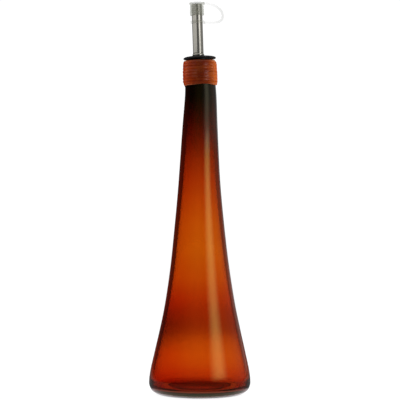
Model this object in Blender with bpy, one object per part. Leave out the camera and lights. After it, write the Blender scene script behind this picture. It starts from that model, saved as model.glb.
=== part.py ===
"""Oil drizzler bottle: a tall blown glass bottle, a lace bound round its neck, and a capped pourer.

The origin is the centre of the ring the bottle stands on, with +Z up. The pourer is a rubber stopper,
a steel spout and a soft clear cap on a strap. It sits a little askew, leaning towards -X.
"""

import math

import bmesh
import bpy
from mathutils import Vector
from mathutils.geometry import interpolate_bezier

MM = 0.001
GAP = 0.3 * MM
MERGE = 0.005 * MM

# Glass
BASE_RADIUS = 44.1 * MM
HEEL_RADIUS = 12.0 * MM
PUNT_RISE = 2.5 * MM
PUNT_EDGE = 28.0 * MM
NECK_RADIUS = 13.2 * MM
NECK_FOOT = 274.0 * MM
LIP_HEIGHT = 293.3 * MM
LIP_INSET = 1.4 * MM
LIP_TURN = 4.0 * MM
LIP_ROUND = 0.8 * MM
BORE_RADIUS = 9.0 * MM
HEEL_WALL = 3.6 * MM
NECK_WALL = NECK_RADIUS - BORE_RADIUS
FLOOR_HEIGHT = 7.5 * MM
FLOOR_RISE = 1.5 * MM
FLOOR_CORNER = 9.0 * MM

# The flowing side of the glass: how wide it is at each of these heights, heel to neck
SIDE = [
    (HEEL_RADIUS, BASE_RADIUS),
    (20.2 * MM, 43.1 * MM),
    (36.1 * MM, 39.7 * MM),
    (57.9 * MM, 34.8 * MM),
    (78.7 * MM, 30.5 * MM),
    (110.4 * MM, 25.6 * MM),
    (142.0 * MM, 22.0 * MM),
    (184.6 * MM, 18.1 * MM),
    (237.1 * MM, 15.0 * MM),
    (262.0 * MM, 13.7 * MM),
    (NECK_FOOT, NECK_RADIUS),
]

# Neck binding: one flat lace wound down from the lip
LACE_TURNS = 8
LACE_PITCH = 2.72 * MM
LACE_WIDTH = 2.42 * MM
LACE_THICKNESS = 1.2 * MM
LACE_ROUND = 0.45 * MM
LACE_FOOT = 269.7 * MM

# Pourer: heights are above the lip, along its own leaning axis
POURER_LEAN = math.radians(1.85)
SPOUT_OFFSET = -1.0 * MM
FLANGE_RADIUS = 14.25 * MM
FLANGE_FOOT = 1.3 * MM
FLANGE_THICKNESS = 1.6 * MM
FLANGE_DOME = 0.4 * MM
FLANGE_ROUND = 0.5 * MM
PLUG_RADIUS = 8.5 * MM
PLUG_END_RADIUS = 8.0 * MM
PLUG_LENGTH = 16.0 * MM
PLUG_CHAMFER = 1.0 * MM
SPOUT_RADIUS = 4.65 * MM
SPOUT_WALL = 0.6 * MM
SPOUT_TOP = 49.4 * MM
SPOUT_FOOT = -15.0 * MM
BEAD_RADIUS = 5.6 * MM
BEAD_FOOT = FLANGE_FOOT + FLANGE_THICKNESS + FLANGE_DOME + GAP
BEAD_HEIGHT = 2.4 * MM
CAP_BORE = SPOUT_RADIUS + GAP
CAP_RADIUS = 5.95 * MM
CAP_SKIRT_RADIUS = 6.15 * MM
CAP_FOOT = 39.5 * MM
CAP_SKIRT_TOP = 44.0 * MM
CAP_SKIRT_STEP = 0.6 * MM
BRIM_RADIUS = 6.55 * MM
BRIM_FOOT = 49.3 * MM
BRIM_ROUND = 0.3 * MM
CAP_TOP = 50.7 * MM
CAP_DOME = 0.5 * MM
RING_RADIUS = 6.0 * MM
RING_FOOT = 32.5 * MM
RING_HEIGHT = 2.4 * MM
STRAP_WIDTH = 2.2 * MM
STRAP_THICKNESS = 0.9 * MM
STRAP_START = (SPOUT_OFFSET + 5.4 * MM, 49.95 * MM)
STRAP_BEND = (22.2 * MM, 38.8 * MM)
STRAP_END = (SPOUT_OFFSET + 5.4 * MM, 33.0 * MM)
STRAP_SAG = 0.9 * MM
STRAP_TOP_REACH = 9.5 * MM
STRAP_FOOT_REACH = 13.5 * MM
STRAP_BEND_RISE = 5.5 * MM
STRAP_BEND_DROP = 5.8 * MM

# How finely round shapes are divided, and how far rows crowd towards the heel, where the side bends most
GLASS_SIDES = 48
SIDE_STEPS = 22
SIDE_CROWDING = 1.25
INSIDE_STEPS = 13
LACE_STEPS_PER_TURN = 24
STOPPER_SIDES = 40
TUBE_SIDES = 28
STRAP_STEPS = 12
SHARP_ANGLE = math.radians(40)

# Colours, as linear values
AMBER = (0.42, 0.075, 0.006)
RUST = (0.23, 0.045, 0.012)
BLACK = (0.012, 0.012, 0.014)
STEEL = (0.60, 0.59, 0.56)
CLEAR = (0.80, 0.82, 0.78)


def clear_scene():
    for item in list(bpy.data.objects):
        bpy.data.objects.remove(item, do_unlink=True)


def surface(name, colour, roughness, metallic=0.0, transmission=0.0):
    material = bpy.data.materials.new(name)
    material.use_nodes = True
    shader = material.node_tree.nodes["Principled BSDF"]
    shader.inputs["Base Color"].default_value = (*colour, 1.0)
    shader.inputs["Roughness"].default_value = roughness
    shader.inputs["Metallic"].default_value = metallic
    shader.inputs["Transmission Weight"].default_value = transmission
    return material


def arc(centre, radii, start, end, steps):
    """Points of an elliptical arc in (radius, height); the angles are in degrees from outward."""
    points = []
    for step in range(steps + 1):
        angle = math.radians(start + (end - start) * step / steps)
        across = centre[0] + radii[0] * math.cos(angle)
        up = centre[1] + radii[1] * math.sin(angle)
        points.append((across, up))
    return points


def side_radius(height):
    """Outer radius of the glass between the heel and the neck, as a smooth curve through SIDE."""
    last = len(SIDE) - 1
    slopes = [0.0]
    for below, above in zip(SIDE, SIDE[2:]):
        slopes.append((above[1] - below[1]) / (above[0] - below[0]))
    slopes.append(0.0)
    span = 0
    while span < last - 1 and height > SIDE[span + 1][0]:
        span += 1
    low, high = SIDE[span], SIDE[span + 1]
    length = high[0] - low[0]
    t = min(max((height - low[0]) / length, 0.0), 1.0)
    rise = t * t * (3.0 - 2.0 * t)
    bend_low = t * (1.0 - t) ** 2
    bend_high = t * t * (t - 1.0)
    bend = length * (bend_low * slopes[span] + bend_high * slopes[span + 1])
    return low[1] + (high[1] - low[1]) * rise + bend


def lip_inset(height):
    """How far the top of the neck draws in towards the lip, and how fast it does so there."""
    t = max((height - (LIP_HEIGHT - LIP_TURN)) / LIP_TURN, 0.0)
    return LIP_INSET * t * t, 2.0 * LIP_INSET * t / LIP_TURN


def wall(height):
    """Thickness of the glass, which grows a little from the heel to the neck."""
    t = (height - HEEL_RADIUS) / (NECK_FOOT - HEEL_RADIUS)
    return HEEL_WALL + (NECK_WALL - HEEL_WALL) * min(max(t, 0.0), 1.0)


def spin_outline(name, outline, sides, material, closed=False, centre_x=0.0):
    """A turned piece. Its outline, in (radius, height), runs down the outer side, top to bottom."""
    shape = bmesh.new()
    corners = [shape.verts.new((radius, 0.0, height)) for radius, height in outline]
    edges = [shape.edges.new(pair) for pair in zip(corners, corners[1:])]
    if closed:
        edges.append(shape.edges.new((corners[-1], corners[0])))
    bmesh.ops.spin(shape, geom=corners + edges, cent=(0, 0, 0), axis=(0, 0, 1),
                   angle=math.tau, steps=sides, use_merge=True)
    bmesh.ops.remove_doubles(shape, verts=shape.verts, dist=MERGE)
    bmesh.ops.recalc_face_normals(shape, faces=shape.faces)
    bmesh.ops.translate(shape, verts=shape.verts, vec=(centre_x, 0.0, 0.0))
    return finish_piece(name, shape, material)


def finish_piece(name, shape, material):
    mesh = bpy.data.meshes.new(name)
    shape.to_mesh(mesh)
    shape.free()
    mesh.shade_smooth()
    mesh.set_sharp_from_angle(angle=SHARP_ANGLE)
    mesh.materials.append(material)
    piece = bpy.data.objects.new(name, mesh)
    bpy.context.collection.objects.link(piece)
    return piece


def sweep(name, stations, material):
    """A solid through rings of points, one ring for each place along its length, closed at both ends."""
    shape = bmesh.new()
    rings = [[shape.verts.new(point) for point in ring] for ring in stations]
    count = len(rings[0])
    for ring, following in zip(rings, rings[1:]):
        for i in range(count):
            j = (i + 1) % count
            shape.faces.new((ring[i], ring[j], following[j], following[i]))
    shape.faces.new(rings[0])
    shape.faces.new(rings[-1])
    bmesh.ops.recalc_face_normals(shape, faces=shape.faces)
    return finish_piece(name, shape, material)


def combine(piece, other, operation):
    """Add a Boolean to a piece; the other shape stays as a hidden guide."""
    boolean = piece.modifiers.new(other.name, "BOOLEAN")
    boolean.operation = operation
    boolean.solver = "EXACT"
    boolean.object = other
    other.hide_render = True
    other.display_type = "WIRE"


def make_bottle():
    """The glass: floor and inner wall up to the lip, then the outer side down to the pushed-up base."""
    floor_radius = side_radius(HEEL_RADIUS) - wall(HEEL_RADIUS) - FLOOR_CORNER
    corner_height = FLOOR_HEIGHT + FLOOR_CORNER
    inside = arc((0.0, FLOOR_HEIGHT), (floor_radius, FLOOR_RISE), 90, 20, 2)
    inside += arc((floor_radius, corner_height), (FLOOR_CORNER, FLOOR_CORNER), -90, -12, 4)
    for step in range(1, INSIDE_STEPS + 1):
        height = corner_height + (NECK_FOOT - corner_height) * step / INSIDE_STEPS
        inside.append((side_radius(height) - wall(height), height))

    lip_radius = NECK_RADIUS - LIP_INSET
    lip_round = (LIP_ROUND, LIP_ROUND)
    lip = arc((BORE_RADIUS + LIP_ROUND, LIP_HEIGHT - LIP_ROUND), lip_round, 180, 90, 2)
    lip += arc((lip_radius - LIP_ROUND, LIP_HEIGHT - LIP_ROUND), lip_round, 90, 45, 1)
    outside = []
    for drop in (0.25, 0.5, 0.75, 1.0):
        height = LIP_HEIGHT - drop * LIP_TURN
        outside.append((NECK_RADIUS - lip_inset(height)[0], height))

    for step in range(SIDE_STEPS + 1):
        t = 1.0 - step / SIDE_STEPS
        height = HEEL_RADIUS + (NECK_FOOT - HEEL_RADIUS) * t ** SIDE_CROWDING
        outside.append((side_radius(height), height))
    stand_radius = BASE_RADIUS - HEEL_RADIUS
    heel = arc((stand_radius, HEEL_RADIUS), (HEEL_RADIUS, HEEL_RADIUS), -15, -90, 5)
    punt = arc((0.0, 0.0), (PUNT_EDGE, PUNT_RISE), 0, 90, 4)

    glass = surface("amber_glass", AMBER, 0.04, transmission=0.9)
    return spin_outline("bottle", inside + lip + outside + heel + punt, GLASS_SIDES, glass)


def lace_ring(angle, height):
    """The lace's cross-section where it crosses this angle, lying flat on the neck at this height."""
    inset, slope = lip_inset(height)
    tilt = math.hypot(1.0, slope)
    along = Vector((-slope, 1.0)) / tilt
    outward = Vector((1.0, slope)) / tilt
    foot = Vector((NECK_RADIUS - inset, height)) + outward * GAP
    half = LACE_WIDTH / 2
    outline = [
        (-half, 0.0),
        (-half, LACE_THICKNESS - LACE_ROUND),
        (-half + LACE_ROUND, LACE_THICKNESS),
        (half - LACE_ROUND, LACE_THICKNESS),
        (half, LACE_THICKNESS - LACE_ROUND),
        (half, 0.0),
    ]
    ring = []
    for across, out in outline:
        radius, level = foot + along * across + outward * out
        ring.append((radius * math.cos(angle), radius * math.sin(angle), level))
    return ring


def make_neck_wrap():
    """One lace in a close right-handed helix; both of its ends lie at the back of the neck."""
    rings = []
    for step in range(LACE_TURNS * LACE_STEPS_PER_TURN + 1):
        turn = step / LACE_STEPS_PER_TURN
        angle = math.pi / 2 + math.tau * turn
        height = LACE_FOOT + LACE_WIDTH / 2 + LACE_PITCH * turn
        rings.append(lace_ring(angle, height))
    return sweep("neck_wrap", rings, surface("rust_lace", RUST, 0.42))


def make_stopper():
    """A flat flange with a tapered plug below it, bored through off centre for the spout."""
    rim = FLANGE_RADIUS - FLANGE_ROUND
    top = FLANGE_FOOT + FLANGE_THICKNESS
    rounding = (FLANGE_ROUND, FLANGE_ROUND)
    outline = arc((0.0, top), (rim, FLANGE_DOME), 90, 0, 3)[:-1]
    outline += arc((rim, top - FLANGE_ROUND), rounding, 90, 0, 3)
    outline += arc((rim, FLANGE_FOOT + FLANGE_ROUND), rounding, 0, -90, 3)
    outline.append((PLUG_RADIUS, FLANGE_FOOT))
    outline.append((PLUG_END_RADIUS, PLUG_CHAMFER - PLUG_LENGTH))
    outline.append((PLUG_END_RADIUS - PLUG_CHAMFER, -PLUG_LENGTH))
    outline.append((0.0, -PLUG_LENGTH))
    stopper = spin_outline("stopper", outline, STOPPER_SIDES, surface("black_rubber", BLACK, 0.38))

    bore = SPOUT_RADIUS + GAP
    above = top + PLUG_LENGTH
    below = -2 * PLUG_LENGTH
    bore_line = [(0.0, above), (bore, above), (bore, below), (0.0, below)]
    cutter = spin_outline("spout_bore", bore_line, TUBE_SIDES, stopper.data.materials[0],
                          centre_x=SPOUT_OFFSET)
    combine(stopper, cutter, "DIFFERENCE")
    return stopper, cutter


def make_spout():
    """A straight steel tube with a rounded bead where it leaves the stopper."""
    bore = SPOUT_RADIUS - SPOUT_WALL
    edge = SPOUT_WALL / 2
    bead_middle = BEAD_FOOT + BEAD_HEIGHT / 2
    bead_depth = BEAD_RADIUS - SPOUT_RADIUS
    outline = arc((bore + edge, SPOUT_TOP - edge), (edge, edge), 180, 0, 4)
    outline += arc((SPOUT_RADIUS, bead_middle), (bead_depth, BEAD_HEIGHT / 2), 90, -90, 6)
    outline += [(SPOUT_RADIUS, SPOUT_FOOT), (bore, SPOUT_FOOT)]
    steel = surface("polished_steel", STEEL, 0.16, metallic=1.0)
    return spin_outline("spout", outline, TUBE_SIDES, steel, closed=True, centre_x=SPOUT_OFFSET)


def strap_stations():
    """Cross-sections of the flat strap, which loops out from the cap's brim and back to its ring."""
    start = Vector((STRAP_START[0], 0.0, STRAP_START[1]))
    bend = Vector((STRAP_BEND[0], 0.0, STRAP_BEND[1]))
    end = Vector((STRAP_END[0], 0.0, STRAP_END[1]))
    start_pull = start + Vector((STRAP_TOP_REACH, 0.0, 0.0))
    bend_pull = bend + Vector((0.0, 0.0, STRAP_BEND_RISE))
    path = interpolate_bezier(start, start_pull, bend_pull, bend, STRAP_STEPS)
    bend_pull = bend - Vector((0.0, 0.0, STRAP_BEND_DROP))
    end_pull = end + Vector((STRAP_FOOT_REACH, 0.0, -STRAP_SAG))
    path += interpolate_bezier(bend, bend_pull, end_pull, end, STRAP_STEPS)[1:]
    stations = []
    for i, point in enumerate(path):
        ahead = path[min(i + 1, len(path) - 1)] - path[max(i - 1, 0)]
        outward = Vector((-ahead.z, 0.0, ahead.x)).normalized() * STRAP_THICKNESS / 2
        side = Vector((0.0, STRAP_WIDTH / 2, 0.0))
        stations.append([point - side - outward, point + side - outward,
                         point + side + outward, point - side + outward])
    return stations


def make_cap():
    """The soft clear moulding: a cup with a brim, a ring round the spout, and the strap between them."""
    clear = surface("clear_plastic", CLEAR, 0.12, transmission=0.9)
    roof = SPOUT_TOP + GAP
    outline = arc((0.0, CAP_TOP), (BRIM_RADIUS - BRIM_ROUND, CAP_DOME), 90, 0, 3)
    outline += [(BRIM_RADIUS, CAP_TOP - BRIM_ROUND), (BRIM_RADIUS, BRIM_FOOT)]
    outline += [(CAP_RADIUS, BRIM_FOOT - BRIM_ROUND), (CAP_RADIUS, CAP_SKIRT_TOP)]
    outline += [(CAP_SKIRT_RADIUS, CAP_SKIRT_TOP - CAP_SKIRT_STEP), (CAP_SKIRT_RADIUS, CAP_FOOT)]
    outline += [(CAP_BORE, CAP_FOOT), (CAP_BORE, roof), (0.0, roof)]
    cap = spin_outline("cap", outline, TUBE_SIDES, clear, centre_x=SPOUT_OFFSET)

    ring_line = [(RING_RADIUS, RING_FOOT + RING_HEIGHT), (RING_RADIUS, RING_FOOT)]
    ring_line += [(CAP_BORE, RING_FOOT), (CAP_BORE, RING_FOOT + RING_HEIGHT)]
    ring = spin_outline("cap_ring", ring_line, TUBE_SIDES, clear, closed=True, centre_x=SPOUT_OFFSET)
    strap = sweep("cap_strap", strap_stations(), clear)
    combine(cap, strap, "UNION")
    combine(cap, ring, "UNION")
    return cap, ring, strap


def main():
    clear_scene()
    make_bottle()
    make_neck_wrap()
    pourer = bpy.data.objects.new("pourer", None)
    bpy.context.collection.objects.link(pourer)
    pourer.location = (0.0, 0.0, LIP_HEIGHT)
    pourer.rotation_euler = (0.0, -POURER_LEAN, 0.0)
    for piece in (*make_stopper(), make_spout(), *make_cap()):
        piece.parent = pourer


main()
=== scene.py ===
# %% [markdown]
# # An oil drizzler bottle in amber glass
#
# This lesson dresses a model of a drizzler bottle. The construction is already there as plain solids:
# a bottle, a lace bound round its neck, a rubber stopper, a steel spout and a clear cap on a strap.
# Here each of them gets its real surface. The solids are loaded as a fixed frame. Every new piece is
# made in metres in the same place, so nothing has to be fitted afterwards.

# %% Load the frame
import math

import bpy
from mathutils import Matrix, Vector


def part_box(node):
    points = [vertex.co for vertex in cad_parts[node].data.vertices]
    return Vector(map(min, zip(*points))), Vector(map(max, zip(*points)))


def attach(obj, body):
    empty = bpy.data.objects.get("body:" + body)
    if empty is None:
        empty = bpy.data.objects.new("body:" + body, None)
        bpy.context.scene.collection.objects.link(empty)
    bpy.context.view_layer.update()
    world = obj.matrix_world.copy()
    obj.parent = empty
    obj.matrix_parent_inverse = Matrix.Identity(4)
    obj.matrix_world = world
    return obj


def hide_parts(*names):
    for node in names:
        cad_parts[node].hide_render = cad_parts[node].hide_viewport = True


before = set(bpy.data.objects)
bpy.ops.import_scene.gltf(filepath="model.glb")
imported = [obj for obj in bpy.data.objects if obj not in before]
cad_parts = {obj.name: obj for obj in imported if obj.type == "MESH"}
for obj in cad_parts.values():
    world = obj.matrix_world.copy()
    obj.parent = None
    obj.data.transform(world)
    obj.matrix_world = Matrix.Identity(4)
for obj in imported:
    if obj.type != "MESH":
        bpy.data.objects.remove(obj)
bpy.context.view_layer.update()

MM = 0.001
print("solids:", sorted(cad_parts))

# %% [markdown]
# ## The camera
#
# The photograph was taken at half the bottle's height, looking level, with a long lens. The base is
# seen a little from above and the pourer a little from below, and how much they are tells how far
# away the camera stood. One pixel is a fixed size at the bottle's axis, which gives the lens.

# %% Place the camera
IMAGE_WIDTH = 400
PIXEL = 0.88 * MM
CAMERA_DISTANCE = 1.35
CAMERA_HEIGHT = 170.3 * MM
CAMERA_ASIDE = 0.3 * PIXEL
SENSOR_WIDTH = 36.0
FARTHEST_SEEN = 50.0

camera_data = bpy.data.cameras.new("camera")
camera_data.sensor_width = SENSOR_WIDTH
camera_data.lens = SENSOR_WIDTH * CAMERA_DISTANCE / (PIXEL * IMAGE_WIDTH)
camera_data.clip_end = FARTHEST_SEEN
camera = bpy.data.objects.new("camera", camera_data)
bpy.context.scene.collection.objects.link(camera)
camera.location = (CAMERA_ASIDE, -CAMERA_DISTANCE, CAMERA_HEIGHT)
camera.rotation_euler = (math.radians(90), 0.0, 0.0)
bpy.context.scene.camera = camera
print("lens in mm:", round(camera_data.lens, 1))

# %% [markdown]
# ## Shader maths as plain sums
#
# A material is a graph of nodes, and sums in it need many small Math nodes. Here a value on the surface
# is wrapped in a class, so that `1 - mask * 0.5` adds those nodes by itself. Every node, of any type,
# comes from one method. Colours never go through a Math node, which would turn them grey: they are
# mixed in a Mix node.

# %% A class for values on a surface
class Field:
    """A number, vector or colour that changes over a surface."""

    def __init__(self, surface, socket):
        self.surface = surface
        self.socket = socket

    def math(self, operation, *others, clamp=False):
        settings = {"operation": operation, "use_clamp": clamp}
        return self.surface.node("ShaderNodeMath", settings, dict(enumerate((self, *others))))

    def reflected(self, operation, first):
        """A sum that starts with a plain number, as 1 - mask does."""
        return self.surface.node("ShaderNodeMath", {"operation": operation}, {0: first, 1: self})

    def __add__(self, other):
        return self.math("ADD", other)

    def __sub__(self, other):
        return self.math("SUBTRACT", other)

    def __mul__(self, other):
        return self.math("MULTIPLY", other)

    def __truediv__(self, other):
        return self.math("DIVIDE", other)

    def __rsub__(self, first):
        return self.reflected("SUBTRACT", first)

    def __rtruediv__(self, first):
        return self.reflected("DIVIDE", first)

    __radd__ = __add__
    __rmul__ = __mul__

    def between(self, low, high):
        """0 below low, 1 above high, and smooth on the way."""
        settings = {"interpolation_type": "SMOOTHSTEP"}
        inputs = {"Value": self, "From Min": low, "From Max": high}
        return self.surface.node("ShaderNodeMapRange", settings, inputs)


# %% A class that adds nodes
# A Mix node has sockets for numbers, vectors and colours, so its colour sockets go by their numbers
MIX_FACTOR = 0
MIX_FIRST = 6
MIX_SECOND = 7
MIX_RESULT = 2


class Nodes:
    """A tree of shader nodes and the shader in it that the rest feeds."""

    def __init__(self, tree, shader):
        self.tree = tree
        self.shader = tree.nodes[shader]

    def node(self, kind, settings=None, inputs=None, output=0):
        """Add any node: its settings first, then the values or links of its sockets."""
        node = self.tree.nodes.new(kind)
        for setting, value in (settings or {}).items():
            if setting == "stops":
                self.set_stops(node.color_ramp, value)
            else:
                setattr(node, setting, value)
        for socket, value in (inputs or {}).items():
            if isinstance(value, Field):
                self.tree.links.new(value.socket, node.inputs[socket])
            else:
                node.inputs[socket].default_value = value
        return Field(self, node.outputs[output])

    def set_stops(self, ramp, stops):
        while len(ramp.elements) < len(stops):
            ramp.elements.new(1.0)
        for element, (place, colour) in zip(ramp.elements, stops):
            element.position = place
            element.color = (*colour, 1.0)

    def feed(self, socket, value):
        self.tree.links.new(value.socket, self.shader.inputs[socket])

    def place(self):
        """Where a point lies on the object, in metres."""
        return self.node("ShaderNodeTexCoord", output="Object")

    def parts(self, vector):
        split = self.node("ShaderNodeSeparateXYZ", inputs={0: vector}).socket.node
        return [Field(self, output) for output in split.outputs]

    def noise(self, vector, scale, detail=3.0, roughness=0.5):
        inputs = {"Vector": vector, "Scale": scale, "Detail": detail, "Roughness": roughness}
        return self.node("ShaderNodeTexNoise", None, inputs, "Fac")

    def stretch(self, vector, factors):
        settings = {"operation": "MULTIPLY"}
        return self.node("ShaderNodeVectorMath", settings, {0: vector, 1: factors})

    def mix(self, factor, first, second, blend="MIX"):
        settings = {"data_type": "RGBA", "blend_type": blend}
        inputs = {MIX_FACTOR: factor, MIX_FIRST: first, MIX_SECOND: second}
        return self.node("ShaderNodeMix", settings, inputs, MIX_RESULT)

    def bump(self, height, distance, strength=1.0):
        inputs = {"Height": height, "Distance": distance, "Strength": strength}
        self.feed("Normal", self.node("ShaderNodeBump", None, inputs))


# %% A class for a material
class Surface(Nodes):
    """A material with one Principled shader; constant settings go straight onto its sockets."""

    def __init__(self, name, **constants):
        self.material = bpy.data.materials.new(name)
        self.material.use_nodes = True
        super().__init__(self.material.node_tree, "Principled BSDF")
        for socket, value in constants.items():
            self.shader.inputs[socket.replace("_", " ")].default_value = value
        print("material:", name)


# %% [markdown]
# ## What each kind of ray sees
#
# The bottle stands on a white table in front of white paper, so what is seen directly or straight
# through the glass is white. What is mirrored shows the room instead, which is mostly dark: in a
# glass wall the light that bounces inside it is mirrored too, and that is what draws the dark rims of
# glassware. What is seen from inside the glass therefore has values of its own. Dull surfaces see a
# dim grey room, and are lit by two lamps at their sides.

# %% Tell the rays apart
def straight_view(nodes):
    """1 for what is seen directly, or through glass without a bounce inside it, and 0 otherwise."""
    seen = nodes.node("ShaderNodeLightPath", output="Is Camera Ray")
    through = nodes.node("ShaderNodeLightPath", output="Is Transmission Ray")
    bounces = nodes.node("ShaderNodeLightPath", output="Glossy Depth")
    unbounced = 1 - bounces.math("MINIMUM", 1.0)
    return (seen + through * unbounced).math("MINIMUM", 1.0)


def dull_view(nodes):
    """1 for the light that falls on dull surfaces."""
    return nodes.node("ShaderNodeLightPath", output="Is Diffuse Ray")


def inner_view(nodes):
    """1 for what is seen after going into a clear piece, bounced there or not."""
    return nodes.node("ShaderNodeLightPath", output="Transmission Depth").math("MINIMUM", 1.0)


# %% [markdown]
# ## The table
#
# A real white table would need strong lamps, and they would be mirrored in the glass. This one shines
# by itself instead, with a colour for each kind of ray. Seen directly it is white, with a painted soft
# shadow under the bottle. Mirrored it is pale close to the heel, a painted pool of the light that the
# glass throws down, and dark farther out. Through the glass it is dim under the bottle, a painted
# shadow, and grows as bright as the paper far behind it, so that no edge shows there.

# %% Floor
FLOOR_SIZE = 12.0
FLOOR_PAINT = (0.12, 0.12, 0.12, 1.0)
FLOOR_MIRRORED = (0.05, 0.05, 0.05, 1.0)
# painted pool of light round the heel, as the glass mirrors it
FLOOR_GLOW = (0.70, 0.71, 0.74, 1.0)
FLOOR_GLOW_ENDS = (43 * MM, 54 * MM)
FLOOR_LIT = (0.15, 0.15, 0.15, 1.0)
FLOOR_BOUNCED = (0.32, 0.08, 0.035, 1.0)
FLOOR_THROUGH = (0.9, 0.9, 0.9, 1.0)
FLOOR_FAR = (1.05, 1.05, 1.05, 1.0)
FLOOR_BRIGHTENS = (1.0, 5.9)
# painted shadow under the bottle, as seen through the glass
FLOOR_UNDER = (0.38, 0.36, 0.36, 1.0)
FLOOR_UNDER_ENDS = (21 * MM, 40 * MM)
FLOOR_SHADE = (0.16, 0.16, 0.16, 1.0)
FLOOR_SHADE_ENDS = (29 * MM, 40 * MM)
WHITE = (1.0, 1.0, 1.0, 1.0)

bpy.ops.object.select_all(action="DESELECT")
bpy.ops.mesh.primitive_plane_add(size=FLOOR_SIZE, location=(0.0, 0.0, 0.0))
floor = bpy.context.object
floor.name = "floor"
table = Surface("white_table", Base_Color=FLOOR_PAINT, Roughness=0.9, Specular_IOR_Level=0.0,
                Emission_Strength=1.0)
reach = table.node("ShaderNodeVectorMath", {"operation": "LENGTH"}, {0: table.place()}, "Value")
mirrored = table.mix(reach.between(*FLOOR_GLOW_ENDS), FLOOR_GLOW, FLOOR_MIRRORED)
outside = table.mix(dull_view(table), mirrored, FLOOR_LIT)
direct = table.mix(reach.between(*FLOOR_SHADE_ENDS), FLOOR_SHADE, WHITE)
outside = table.mix(straight_view(table), outside, direct)
through = table.mix(reach.between(*FLOOR_BRIGHTENS), FLOOR_THROUGH, FLOOR_FAR)
under = table.mix(reach.between(*FLOOR_UNDER_ENDS), FLOOR_UNDER, through)
inside = table.mix(straight_view(table), FLOOR_BOUNCED, under)
table.feed("Emission Color", table.mix(inner_view(table), outside, inside))
floor.data.materials.append(table.material)
print("floor nodes:", len(table.tree.nodes))

# %% [markdown]
# ## The room
#
# The room is banded by compass direction: dark on the camera's side and at the left, dim at the right
# and behind it. Seen from inside the glass it is a deep red instead, darker at the left and brighter
# overhead. The world's nodes only see a direction, so the bands are a colour ramp on its angle round
# the upright axis.

# %% World
BACKDROP = (1.05, 1.05, 1.05, 1.0)
ROOM = [
    (-180, 0.02),
    (-60, 0.02),
    (-15, 0.10),
    (25, 0.08),
    (70, 0.20),
    (115, 0.20),
    (128, 0.10),
    (145, 0.30),
    (180, 0.30),
]
CEILING = (0.5, 0.5, 0.5, 1.0)
CEILING_STARTS = (0.5, 0.9)
DULL_ROOM = (0.12, 0.12, 0.12, 1.0)
INNER_LEFT = (0.13, 0.030, 0.012, 1.0)
INNER_RIGHT = (0.28, 0.095, 0.055, 1.0)
INNER_SIDES = (-0.7, 0.7)
INNER_ABOVE = (0.60, 0.15, 0.10, 1.0)
INNER_ABOVE_STARTS = (0.15, 0.5)


def grey(level):
    return (level, level, level)


def build_world():
    world = bpy.data.worlds.new("studio")
    world.use_nodes = True
    studio = Nodes(world.node_tree, "Background")
    across, away, up = studio.parts(studio.node("ShaderNodeTexCoord", output="Generated"))
    angle = across.math("ARCTAN2", away * -1.0)
    stops = [(degrees / 360 + 0.5, grey(level)) for degrees, level in ROOM]
    room = studio.node("ShaderNodeValToRGB", {"stops": stops}, {"Fac": angle / math.tau + 0.5})
    room = studio.mix(up.between(*CEILING_STARTS), room, CEILING)
    inner = studio.mix(across.between(*INNER_SIDES), INNER_LEFT, INNER_RIGHT)
    inner = studio.mix(up.between(*INNER_ABOVE_STARTS), inner, INNER_ABOVE)
    room = studio.mix(inner_view(studio), room, inner)
    room = studio.mix(dull_view(studio), room, DULL_ROOM)
    studio.feed("Color", studio.mix(straight_view(studio), room, BACKDROP))
    world.cycles.sampling_method = "NONE"
    bpy.context.scene.world = world
    print("world nodes:", len(studio.tree.nodes))


build_world()
bpy.context.scene.view_settings.view_transform = "Standard"

# %% [markdown]
# ## The soft box, the reflector and the side lamps
#
# One tall soft box stands to the right. Its cloth is brightest in the middle and fades to its sides and
# its foot, so its mirror image on the glass is a band with soft edges. It is dim at the height that
# the neck mirrors, and brighter above that, where the steel spout does. A grey reflector hangs at the
# left, higher than the glass, for the spout, with one corner folded away. Two lamps a little behind
# the bottle light only the dull pieces, which are therefore brightest at their sides.

# %% Hang a lamp
def hang_lamp(name, angle, distance, width, foot, top, radiance):
    """An upright rectangle of even light that faces the bottle; the angle turns it to the right."""
    light = bpy.data.lights.new(name, "AREA")
    light.shape = "RECTANGLE"
    light.size = width
    light.size_y = top - foot
    light.energy = radiance * math.pi * width * (top - foot)
    lamp = bpy.data.objects.new(name, light)
    bpy.context.scene.collection.objects.link(lamp)
    lamp.location = (distance * math.sin(angle), -distance * math.cos(angle), (foot + top) / 2)
    lamp.rotation_euler = (math.radians(90), 0.0, angle)
    lamp.visible_transmission = False
    print(name, "in watts:", round(light.energy, 2))
    return lamp


# %% Soft box
SOFT_BOX_ANGLE = math.radians(45)
SOFT_BOX_DISTANCE = 0.7
SOFT_BOX_WIDTH = 0.68
SOFT_BOX_FOOT = -0.05
SOFT_BOX_TOP = 0.55
SOFT_BOX_DIM = 0.15
SOFT_BOX_DIMS = (0.285, 0.338)
SOFT_BOX_UPPER = 0.42
SOFT_BOX_BRIGHTENS = (0.394, 0.406)
SOFT_BOX_STARTS = (0.05, 0.18)
SOFT_BOX_RADIANCE = 2.9


def soften_cloth(lamp):
    """Fade a lamp to its sides and foot, dim it where the neck mirrors it, and light no dull piece."""
    lamp.visible_diffuse = False
    lamp.data.use_nodes = True
    cloth = Nodes(lamp.data.node_tree, "Emission")
    across, height, _ = cloth.parts(cloth.node("ShaderNodeNewGeometry", output="Parametric"))
    middle = across.between(0.0, 0.5) * (1 - across.between(0.5, 1.0))
    level = height * (SOFT_BOX_TOP - SOFT_BOX_FOOT) + SOFT_BOX_FOOT
    strength = 1 - level.between(*SOFT_BOX_DIMS) * (1 - SOFT_BOX_DIM)
    strength = strength + level.between(*SOFT_BOX_BRIGHTENS) * (SOFT_BOX_UPPER - SOFT_BOX_DIM)
    cloth.feed("Strength", middle * strength * level.between(*SOFT_BOX_STARTS))


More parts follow.
